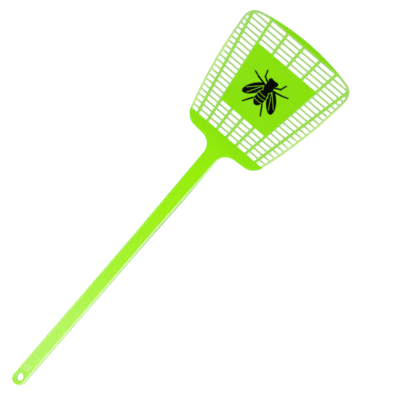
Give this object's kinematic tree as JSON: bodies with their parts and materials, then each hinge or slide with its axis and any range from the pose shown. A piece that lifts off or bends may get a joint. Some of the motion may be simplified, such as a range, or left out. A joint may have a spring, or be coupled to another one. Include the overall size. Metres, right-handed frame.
{
  "type": "fly swatter",
  "caption": "Hand fly swatter: a flared lattice head with a solid print plate, a thin flexing neck and a long channel handle with a hanging hole.",
  "frame": {"origin": "middle of the bounding box's base: midway between the tail and the tip, on the surface that the swatter's back lies on", "axes": "+Y along the handle from the hanging hole to the head's tip, +Z out of the printed front face, +X across the head, to the right when the head is up and the print faces the viewer"},
  "size_m": [0.1262, 0.4136, 0.0077],
  "materials": {
    "green_plastic": "glossy translucent lime-green polypropylene",
    "black_ink": "satin black pad-printed ink"
  },
  "bodies": {
    "handle": {"hanging_eye": "green_plastic", "handle_face": "green_plastic", "handle_wall_left": "green_plastic", "handle_wall_right": "green_plastic", "neck": "green_plastic"},
    "head": {"throat": "green_plastic", "side_rim_left": "green_plastic", "side_rim_right": "green_plastic", "crown": "green_plastic", "grille_left": "green_plastic", "grille_right": "green_plastic", "grille_upper": "green_plastic", "grille_lower": "green_plastic", "print_plate": "green_plastic", "printed_emblem": "black_ink"}
  },
  "joints": [
    {"name": "neck_flex", "type": "hinge", "parent": "handle", "child": "head", "pos_m": [0, 0.05625, 0.006], "axis": [1, 0, 0], "range_deg": [-20, 20], "stiffness_Nm_per_rad": 1, "deforming": ["neck"]}
  ]
}
